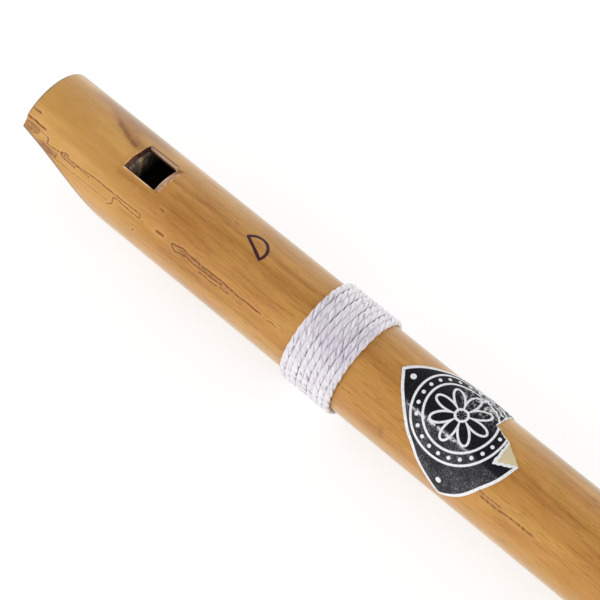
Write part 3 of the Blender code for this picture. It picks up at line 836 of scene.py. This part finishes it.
def label_material(grain, line):
    """Black printed paper: speckled ink, a painted reflection turning it grey below its crease, cracked where
    crumpled, and torn.
    """
    material, tree, shader = new_material("printed_paper")
    wear_and_reflection = node(tree, "ShaderNodeSeparateXYZ", vector=read(tree, "label_wear_and_reflection", "Vector"))
    torn, ridge, reflected_grey = wear_and_reflection.outputs
    speckle = placed(tree, grain, along=2700, across=2700, detail=3, roughness=0.7, seed=6, low=0.50, high=0.72)
    cracks = placed(tree, grain, along=1500, across=1500, detail=4, roughness=0.75, seed=1, low=0.42, high=0.52)
    soft_grey = placed(tree, grain, along=420, across=420, detail=4, roughness=0.7, seed=12, low=0.36, high=0.64)
    black = blend(tree, speckle["Mask"], (0.006, 0.006, 0.009), (0.030, 0.030, 0.040))
    grey = blend(tree, speckle["Mask"], (0.060, 0.060, 0.066), (0.30, 0.30, 0.32))
    # Painted reflection: the black turns grey below the crease.
    grey_share = calculate(tree, "MULTIPLY", reflected_grey, calculate(tree, "MULTIPLY_ADD", soft_grey["Mask"], 0.50, 0.45))
    black = blend(tree, grey_share, black, grey)
    scuffed = calculate(tree, "SUBTRACT", 1.0, calculate(tree, "MULTIPLY", speckle["Mask"], 0.5))
    printed = calculate(tree, "MULTIPLY", label_print(tree, line), scuffed)
    base = blend(tree, printed, black, (0.84, 0.84, 0.86))
    base = blend(tree, calculate(tree, "MULTIPLY", ridge, cracks["Mask"]), base, (0.82, 0.82, 0.83))
    core = blend(tree, speckle["Mask"], (0.64, 0.54, 0.34), (0.72, 0.63, 0.43))
    base = blend(tree, step_between(tree, torn, -0.05, 0.05), base, (0.80, 0.80, 0.82))
    base = blend(tree, step_between(tree, torn, 0.45, 0.60), base, core)
    fill(tree, shader.inputs["Base Color"], base)
    shader.inputs["Roughness"].default_value = 0.45
    shader.inputs["Specular IOR Level"].default_value = 0.12
    bump(tree, shader, speckle["Value"], 0.00002, 0.5)
    return material


def floor_material():
    """A white floor that stays white to the camera and keeps the object's shadow."""
    material, tree, shader = new_material("white_floor")
    tree.nodes.remove(shader)
    paint = node(tree, "ShaderNodeBsdfDiffuse", color=(0.92, 0.92, 0.92, 1.0))
    soft_paint = node(tree, "ShaderNodeBsdfDiffuse", color=(0.42, 0.42, 0.42, 1.0))
    glow = node(tree, "ShaderNodeEmission", color=(1.0, 1.0, 1.0, 1.0), strength=0.69)
    rays = node(tree, "ShaderNodeLightPath")
    seen = calculate(tree, "MAXIMUM", rays.outputs["Is Camera Ray"], rays.outputs["Is Glossy Ray"])
    both = node(tree, "ShaderNodeAddShader")
    tree.links.new(soft_paint.outputs[0], both.inputs[0])
    tree.links.new(glow.outputs[0], both.inputs[1])
    pick = node(tree, "ShaderNodeMixShader", fac=seen)
    tree.links.new(paint.outputs[0], pick.inputs[1])
    tree.links.new(both.outputs[0], pick.inputs[2])
    tree.links.new(pick.outputs[0], tree.nodes["Material Output"].inputs["Surface"])
    return material


# Tube

def tube_rows():
    """Distances along the tube where its rings of points lie, closest where the marks are."""
    rows = [np.linspace(start, end, round((end - start) / step), endpoint=False) for start, end, step in ROW_SPANS]
    rows[0] = np.union1d(rows[0], np.linspace(0, END_ROUNDING, 4))
    rows[-1] = np.union1d(rows[-1], TUBE_LENGTH - np.linspace(0, END_ROUNDING, 4))
    return np.concatenate(rows)


def uncut_tube(materials):
    """The whole tube with rounded ends, before anything is cut into it."""
    rows = tube_rows()
    edge = np.minimum(rows, TUBE_LENGTH - rows).clip(0, END_ROUNDING)
    lift = np.sqrt(END_ROUNDING**2 - (END_ROUNDING - edge) ** 2) - END_ROUNDING
    columns = np.arange(round(ROUND_THE_TUBE / COLUMN_STEP)) * ROUND_THE_TUBE / round(ROUND_THE_TUBE / COLUMN_STEP)
    outer = on_skin(rows[:, None], columns[None, :], lift[:, None])
    bore_rows = np.linspace(TUBE_LENGTH, 0, BORE_ROWS)
    inner = on_skin(bore_rows[:, None], columns[None, :], -WALL)
    points = np.concatenate([outer, inner]).reshape(-1, 3) - np.array(flute_place().translation)
    total = len(rows) + BORE_ROWS
    mesh = mesh_of("bamboo_tube_skin", points, grid_faces(total, len(columns), closed_rows=True, closed_columns=True))
    tube = new_object("bamboo_flute_tube", mesh, materials)
    slots = np.full(total, SKIN, np.int32)
    slots[len(rows):] = BORE
    slots[len(rows) - 1] = slots[-1] = END_GRAIN
    mesh.polygons.foreach_set("material_index", np.repeat(slots, len(columns)))
    return tube


def tube_coordinates(points):
    """Along and round in millimetres, and the distance from the axis, of points in the tube's own frame."""
    around = np.arctan2(-points[:, 1], points[:, 2]) * TUBE_RADIUS / MM
    return points[:, 0] / MM, around, np.hypot(points[:, 1], points[:, 2])


def letter_strokes():
    """The pitch letter's stem and its round side."""
    start, end = (np.array(point) for point in LETTER_STEM)
    middle, half = (start + end) / 2, (end - start) / 2
    outward = np.array((half[1], -half[0])) / np.linalg.norm(half) * LETTER_BOWL_REACH_MM
    bowl = [middle - half * math.cos(turn) + outward * math.sin(turn) for turn in np.linspace(0, math.pi, 19)]
    return (start, end), bowl


def room_to_marks(along, around):
    """How far each place lies outside the nearest drawn line, in millimetres."""
    room = np.full(np.shape(along), np.inf)
    for line, half_width, _, _ in SCARS:
        room = np.minimum(room, distance_to_line(along, around, line) - half_width)
    for stroke in letter_strokes():
        room = np.minimum(room, distance_to_line(along, around, stroke) - LETTER_HALF_WIDTH_MM)
    return room


def split_near_marks(mesh):
    """Splits the skin's faces finer and finer towards the drawn lines, and lays the new points on the skin."""
    bm = bmesh.new()
    bm.from_mesh(mesh)
    on_the_skin = TUBE_RADIUS - 0.01 * MM
    for reach in SPLIT_WITHIN_MM:
        bm.faces.index_update()
        centres = np.array([face.calc_center_median() for face in bm.faces])
        along, around, radius = tube_coordinates(centres)
        near = (room_to_marks(along, around) < reach) & (radius > on_the_skin)
        edges = [edge for edge in bm.edges if any(near[face.index] for face in edge.link_faces)]
        bmesh.ops.subdivide_edges(bm, edges=edges, cuts=1, use_grid_fill=True)
    bm.to_mesh(mesh)
    bm.free()
    points = mesh_points(mesh)
    _, _, radius = tube_coordinates(points)
    points[:, 1:] *= np.where(radius > on_the_skin, TUBE_RADIUS / np.maximum(radius, on_the_skin), 1)[:, None]
    set_mesh_points(mesh, points)


def field_of(along, around, fields):
    """The strongest of several soft-edged rectangles at each place."""
    strength = np.zeros(len(along))
    for middle_along, half_along, middle_around, half_around, amount in fields:
        shape = np.exp(-((along - middle_along) / half_along) ** 6 - ((around - middle_around) / half_around) ** 4)
        strength = np.maximum(strength, amount * shape)
    return strength


def mark_skin(mesh):
    """Presses the scars into the skin and stores where scars, stains, painted shade, tones and ink lie."""
    points = mesh_points(mesh)
    along, around, radius = tube_coordinates(points)
    skin = radius > TUBE_RADIUS - 0.0005
    hand = 0.045 * uneven(along, around, 2.6, 21)
    patchy = 0.80 + 0.20 * uneven(along, around, 1.1, 22)
    scar, lip, depth = np.zeros((3, len(points)))
    for line, half_width, deep, dark in SCARS:
        away = distance_to_line(along, around + hand, line) / half_width
        near = np.exp(-away**2)
        scar = np.maximum(scar, dark * near * patchy)
        lip = np.maximum(lip, SCAR_LIP * dark * np.exp(-((away - 2.1) / 0.7) ** 2))
        depth = np.maximum(depth, deep * MM * near)
    # Tone fields, some of them painted shade along the back side
    stain_and_shade = field_of(along, around, TONE_AND_SHADE_FIELDS)
    cloudy = 0.90 + 0.12 * uneven(along / 3, around, 1.8, 26)
    for line, half_width, strength in STAINS:
        near = np.exp(-(distance_to_line(along, around + 2 * hand, line) / half_width) ** 2)
        stain_and_shade = np.maximum(stain_and_shade, strength * near * cloudy)
    dull = field_of(along, around + 2 * hand, DULL_FIELDS) * (0.85 + 0.25 * uneven(along / 4, around, 0.8, 23))
    tone = np.clip((along - TONE_CHANGE_MM[0]) / (TONE_CHANGE_MM[1] - TONE_CHANGE_MM[0]), 0, 1)
    tone = np.clip(tone * (1 + 0.12 * uneven(along / 6, around, 5.0, 24)), 0, 1)
    ink = np.min([distance_to_line(along, around, stroke) for stroke in letter_strokes()], axis=0)
    ink /= LETTER_HALF_WIDTH_MM * (1 + 0.08 * uneven(along, around, 2.0, 25))
    points[:, 1:] *= (1 - np.where(skin, depth, 0) / np.maximum(radius, BORE_RADIUS))[:, None]
    chip_from, chip_to, chip_depth, chip_run = LIP_CHIP_MM
    beside_chip = np.clip(np.minimum(around - chip_from, chip_to - around) / 0.25, 0, 1)
    points[:, 0] += chip_depth * MM * beside_chip * np.clip(1 - along / chip_run, 0, 1)
    set_mesh_points(mesh, points)
    for name, values in (("scar", scar), ("lip", lip), ("stain_and_shade", stain_and_shade), ("dull", dull), ("tone", tone)):
        store(mesh, name, np.clip(np.where(skin, values, 0), 0, 1))
    store(mesh, "ink", np.where(skin, np.minimum(ink, 9), 9))


def bamboo_tube(materials):
    tube = uncut_tube(materials)
    cutters = [beak_drum(materials, BEAK_FACE), window_cutter(materials)]
    cutters += [hole_cutter(number, materials) for number in range(len(FINGER_HOLES))]
    carve(tube, cutters)
    split_near_marks(tube.data)
    mark_skin(tube.data)
    tube.data.shade_smooth()
    tube.data.set_sharp_from_angle(angle=math.radians(32))
    tube.data.transform(flute_place())
    return tube


# Other pieces

def fipple_block(materials):
    """The plug that fills the bore of the beak: the windway's floor on top, a straight end and a leaning heel."""
    radius = BORE_RADIUS - BLOCK_ROOM
    lean_end = math.sqrt(BEAK_DRUM_RADIUS**2 - (-BORE_RADIUS - drum_centre_z()) ** 2)
    reach = -BEAK_CROWN_BEFORE_MOUTH + lean_end + BLOCK_COVER
    turns = np.arange(BLOCK_SIDES) * math.tau / BLOCK_SIDES
    rings = [np.stack([np.full(BLOCK_SIDES, x), radius * np.cos(turns), radius * np.sin(turns)], -1)
             for x in np.linspace(-OVERRUN, reach + OVERRUN, 48)]
    block = stacked_rings("fipple_plug", rings, materials, BLOCK_WOOD)
    low = -radius - OVERRUN
    lean = (reach - WINDOW_FROM_MOUTH) / (radius - BLOCK_HEEL_BELOW_AXIS)
    side = ((0.0, low), (0.0, WINDWAY_FLOOR), (WINDOW_FROM_MOUTH - BLOCK_EDGE_CHAMFER, WINDWAY_FLOOR),
            (WINDOW_FROM_MOUTH, WINDWAY_FLOOR - BLOCK_EDGE_CHAMFER), (WINDOW_FROM_MOUTH, -BLOCK_HEEL_BELOW_AXIS),
            (reach + lean * OVERRUN, low))
    slots = (BLOCK_WOOD, BLOCK_WOOD, BLOCK_END, BLOCK_END, BLOCK_HEEL, BLOCK_WOOD)
    carve(block, [side_prism("block_side", side, TUBE_RADIUS, materials, slots)], "INTERSECT")
    carve(block, [beak_drum(materials, BLOCK_BEAK)])
    finish_mesh(block.data)
    block.data.transform(flute_place())
    return block


def binding_line(middle_x, seed):
    """The cord's centre line, the direction away from the tube, and the length of cord up to each point."""
    radius = TUBE_RADIUS + CORD_FLATNESS * CORD_WIDTH / 2
    length = BINDING_TURNS * math.hypot(math.tau * radius, CORD_WIDTH)
    turns = np.linspace(0, BINDING_TURNS, round(length / CORD_STEP))
    pitch = PITCH_UNEVENNESS / math.tau * (np.sin(math.tau * turns + PITCH_PHASE) - math.sin(PITCH_PHASE))
    slip = TURN_SLIP * uneven(turns, np.zeros(len(turns)), 0.45, seed)
    x = middle_x + CORD_WIDTH * (turns + pitch - BINDING_TURNS / 2) + slip
    angle = -math.pi / 2 + math.pi / 24 + math.tau * turns
    out = np.stack([0 * angle, np.cos(angle), np.sin(angle)], -1)
    line = np.stack([x, radius * out[:, 1], AXIS_Z + radius * out[:, 2]], -1)
    return line, out, length * turns / BINDING_TURNS


def cord_binding(name, node_name, material, seed):
    """A winding of twisted cord: three plies laid round a core, pressed flat and melted together at both ends."""
    low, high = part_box(node_name)
    line, out, travelled = binding_line((low[0] + high[0]) / 2, seed)
    forward = np.gradient(line, axis=0)
    forward /= np.linalg.norm(forward, axis=1)[:, None]
    side = np.cross(forward, out)
    ends = np.minimum(travelled, travelled[-1] - travelled)
    closing = np.clip(ends / CORD_END_TAPER, 0, 1) ** 0.5
    around = np.arange(PLY_SIDES) * math.tau / PLY_SIDES
    rows = len(line)
    strands = [(PLY_OFFSET, PLY_RADIUS, math.tau * ply / PLIES) for ply in range(PLIES)] + [(0, CORE_RADIUS, 0)]
    points, faces, places, shade = [], [], [], []
    for number, (offset, radius, start_turn) in enumerate(strands):
        lay = start_turn - math.tau * travelled / PLY_LAY
        away = out * np.cos(lay)[:, None] + side * np.sin(lay)[:, None]
        beside = np.cross(forward, away)
        ring = away[:, None, :] * np.cos(around)[None, :, None] + beside[:, None, :] * np.sin(around)[None, :, None]
        plump = 1 + 0.08 * uneven(travelled / MM, np.zeros(rows), 3.5, seed + number)
        body = ring * (radius * plump * np.maximum(closing, 0.05))[:, None, None]
        body = body + away[:, None, :] * (offset * closing)[:, None, None]
        rise = (body * out[:, None, :]).sum(-1, keepdims=True)
        spread = (body * side[:, None, :]).sum(-1, keepdims=True)
        pressed = side[:, None, :] * spread * (CORD_SPREAD - 1) - out[:, None, :] * rise * (1 - CORD_FLATNESS)
        body = body + pressed + line[:, None, :]
        start = number * rows * PLY_SIDES
        last = start + (rows - 1) * PLY_SIDES
        faces += [tuple(start + i for i in face) for face in grid_faces(rows, PLY_SIDES, closed_columns=True)]
        faces += [tuple(range(start, start + PLY_SIDES)), tuple(range(last, last + PLY_SIDES))]
        points.append(body.reshape(-1, 3))
        place = np.stack(np.broadcast_arrays(travelled[:, None], (around * radius)[None, :], 0.01 * number), -1)
        places.append(place.reshape(-1, 3))
        inward = np.clip(PLY_SHADE_REACH - np.cos(around), 0, 1) if offset else np.ones(PLY_SIDES)
        shade.append(np.tile(inward, rows))
    points = np.concatenate(points)
    reach = np.hypot(points[:, 1], points[:, 2] - AXIS_Z)
    push = np.maximum(reach, TUBE_RADIUS + 0.02 * MM) / reach
    points[:, 1] *= push
    points[:, 2] = np.maximum(AXIS_Z + (points[:, 2] - AXIS_Z) * push, 0.0)
    mesh = mesh_of(name, points, faces, math.radians(80))
    store_vector(mesh, "ply_place", np.concatenate(places))
    store(mesh, "shade", np.concatenate(shade))
    return new_object(name, mesh, (material,))


def label_edge(turns, half_length):
    """The label's edge at some turns round its centre, in millimetres along and round."""

    def bowed(share):
        return np.copysign(np.abs(share) ** (2 / LABEL_BOW), share)

    side = bowed(np.sin(turns))
    return (half_length * bowed(np.cos(turns)) + LABEL_TIP_SHIFT * np.abs(side)) / MM, LABEL_HALF_WIDTH * side / MM


def share_before_tear(a, b):
    """The share of the way from the label's centre to points of its edge that the tear leaves."""
    share = np.ones(len(a))
    for (a0, b0), (a1, b1) in zip(LABEL_TEAR_MM, LABEL_TEAR_MM[1:]):
        facing = a * (b1 - b0) - b * (a1 - a0)
        on_segment = (a0 * b - b0 * a) / facing
        reach = (a0 * (b1 - b0) - b0 * (a1 - a0)) / facing
        met = (on_segment >= 0) & (on_segment <= 1) & (reach > 0)
        share = np.where(met, np.minimum(share, reach), share)
    return share


def paper_label(material):
    """The printed paper, glued over the tube: creased, crumpled at the back, with one corner torn off."""
    low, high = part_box("paper_label")
    middle = (low[0] + high[0]) / 2 - MOUTH_X
    turns = np.arange(LABEL_SEGMENTS) * math.tau / LABEL_SEGMENTS
    edge_a, edge_b = label_edge(turns, (high[0] - low[0]) / 2)
    snip = 1 + 0.006 * uneven(edge_a, edge_b, 6.0, 31)
    edge_a, edge_b = edge_a * snip, edge_b * snip
    whole_outline = list(zip(edge_a, edge_b))
    left = share_before_tear(edge_a, edge_b)
    left = left * (1 + np.where(left < 1, 0.012 * uneven(edge_a * left, edge_b * left, 1.1, 36), 0))
    shares = np.linspace(0, 1, LABEL_RINGS + 1)[1:]
    a = shares[:, None] * (edge_a * left)[None, :]
    b = shares[:, None] * (edge_b * left)[None, :]
    rim = distance_to_line(a, b, whole_outline + whole_outline[:1])

    ragged = 0.12 * uneven(a, b, 1.4, 32)
    peeled = np.minimum(a - 10.3 - 0.10 * b, (3.6 - 0.51 * (a - 10.85) - b) / 1.12)
    torn = np.maximum(peeled, 0.26 - distance_to_line(a, b, LABEL_TEAR_MM)) + ragged
    crumpled = np.exp(-((a - 1.8) / 4.8) ** 4 - ((b + 9.0) / 5.8) ** 4)
    folds = uneven(a, b, 2.1, 33)
    ridge = np.clip(1.25 - np.abs(folds) * 2.1, 0, 1) * crumpled
    crease = np.exp(-((b - 4.8 - 0.1 * folds) / 0.30) ** 2) * np.exp(-((a + 2) / 7.5) ** 6)
    curl = np.exp(-((a - 10.3 - 0.10 * b) / 0.45) ** 2) * np.exp(-((b - 0.8) / 2.9) ** 4)
    # Painted reflection: the paper greyer below its crease
    reflected_grey = np.clip((b - 4.8) / 0.4, 0, 1) * (0.80 + 0.30 * uneven(a, b, 7.0, 34))
    lift = LABEL_LIFT / MM + 0.26 * ridge + 0.08 * crease + 0.32 * curl
    lift = lift - 0.04 * np.clip(torn / 0.2, 0, 1)

    top = on_skin(middle + a * MM, b * MM, lift * MM + LABEL_THICKNESS)
    under = on_skin(middle + a * MM, b * MM, lift * MM)
    centre = on_skin(np.array([middle]), np.zeros(1), np.array([LABEL_LIFT + LABEL_THICKNESS]))
    centre_under = on_skin(np.array([middle]), np.zeros(1), np.array([LABEL_LIFT]))
    rings = np.concatenate([top, under[::-1]]).reshape(-1, 3)
    faces = grid_faces(2 * LABEL_RINGS, LABEL_SEGMENTS, closed_columns=True)
    last = 2 * LABEL_RINGS * LABEL_SEGMENTS
    for segment in range(LABEL_SEGMENTS):
        following = (segment + 1) % LABEL_SEGMENTS
        faces.append((last, segment, following))
        faces.append((last + 1, last - LABEL_SEGMENTS + segment, last - LABEL_SEGMENTS + following))
    mesh = mesh_of("paper_label_sheet", np.concatenate([rings, centre, centre_under]), faces, math.radians(60))
    middle_rim = np.array([[0, 0, rim[0].mean()]] * 2)
    for name, values, at_centre in (("label_place", (a, b, rim), middle_rim),
                                    ("label_wear_and_reflection", (torn, ridge + crease, reflected_grey), np.array([[-9.0, 0, 0]] * 2))):
        flat = np.stack(values, -1)
        store_vector(mesh, name, np.concatenate([flat.reshape(-1, 3), flat[::-1].reshape(-1, 3), at_centre]))
    return new_object("torn_paper_label", mesh, (material,))


# Stage

def add_floor():
    half = 1.5
    corners = [(-half, -half, 0), (half, -half, 0), (half, half, 0), (-half, half, 0)]
    floor = new_object("floor", mesh_of("floor", corners, [(0, 1, 2, 3)]), (floor_material(),))
    floor.location.z = -0.02 * MM


def add_lamp(name, place, size, power):
    lamp = bpy.data.lights.new(name, "AREA")
    lamp.shape = "DISK"
    lamp.size = size
    lamp.energy = power
    obj = bpy.data.objects.new(name, lamp)
    bpy.context.scene.collection.objects.link(obj)
    obj.location = place
    obj.rotation_euler = (-Vector(place)).to_track_quat("-Z", "Y").to_euler()
    obj.visible_glossy = False


def light_the_stage():
    world = bpy.data.worlds.new("studio")
    world.use_nodes = True
    tree = world.node_tree
    background = tree.nodes["Background"]
    background.inputs["Color"].default_value = (1.0, 1.0, 1.0, 1.0)
    direction = node(tree, "ShaderNodeTexCoord").outputs["Generated"]
    height = node(tree, "ShaderNodeSeparateXYZ", vector=direction).outputs["Z"]
    tent = node(tree, "ShaderNodeMapRange", value=height, to_min=HORIZON_LIGHT, to_max=OVERHEAD_LIGHT)
    fill(tree, background.inputs["Strength"], tent.outputs[0])
    bpy.context.scene.world = world
    add_lamp("key_softbox", (-0.4, -1.1, 0.5), 0.9, 4.0)
    add_lamp("fill_softbox", (0.5, 1.0, 0.45), 0.9, 2.0)


def add_camera():
    camera = bpy.data.cameras.new("camera")
    camera.lens = CAMERA_LENS
    camera.sensor_width = 36.0
    camera.clip_start = 0.01
    obj = bpy.data.objects.new("camera", camera)
    bpy.context.scene.collection.objects.link(obj)
    forward, up = Vector(CAMERA_FORWARD).normalized(), Vector(CAMERA_UP).normalized()
    right = forward.cross(up)
    turn = Matrix((right, up, -forward)).transposed().to_4x4()
    obj.matrix_world = Matrix.Translation(CAMERA_PLACE) @ turn
    bpy.context.scene.camera = obj


def place_piece(piece, slot, *nodes):
    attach(piece, "root")
    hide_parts(*nodes)


def main():
    add_camera()
    add_floor()
    light_the_stage()
    bpy.context.scene.view_settings.view_transform = "Standard"

    grain, bundles, line = grain_group(), bundle_group(), line_group()
    tube_materials = (
        skin_material(grain, line),
        # The bore's near-black colour is painted shade inside the tube.
        cut_material("bore_wall", grain, bundles, (0.050, 0.028, 0.014), (0.028, 0.015, 0.008), 0.6),
        cut_material("end_grain", grain, bundles, (0.52, 0.33, 0.14), (0.36, 0.19, 0.07), 0.3, 0.8),
        window_wall_material(grain, bundles, line),
        window_end_material(grain, bundles),
        cut_material("hole_wall", grain, bundles, (0.17, 0.080, 0.034), (0.070, 0.030, 0.015), 0.7),
        cut_material("beak_face", grain, bundles, (0.58, 0.38, 0.17), (0.42, 0.24, 0.09), 0.25, 0.6),
    )
    block_materials = (
        cut_material("block_wood", grain, bundles, (0.30, 0.20, 0.09), (0.16, 0.10, 0.045), 0.4, 0.3),
        cut_material("block_beak_face", grain, bundles, (0.46, 0.29, 0.13), (0.32, 0.18, 0.07), 0.35, 0.3),
        block_end_material(grain, bundles, line),
        # The heel's near-black colour is painted shade deep in the bore.
        cut_material("block_heel", grain, bundles, (0.035, 0.022, 0.012), (0.018, 0.011, 0.007), 0.5, 0.3),
    )

    place_piece(bamboo_tube(tube_materials), "bamboo", "bamboo_tube")
    place_piece(fipple_block(block_materials), "block_wood", "fipple_block")
    cord = cord_material(grain)
    for seed, node_name in enumerate(("head_binding", "middle_binding", "foot_binding")):
        place_piece(cord_binding(f"{node_name}_cord", node_name, cord, 40 + 10 * seed), "white_cord", node_name)
    place_piece(paper_label(label_material(grain, line)), "black_paper", "paper_label")


main()
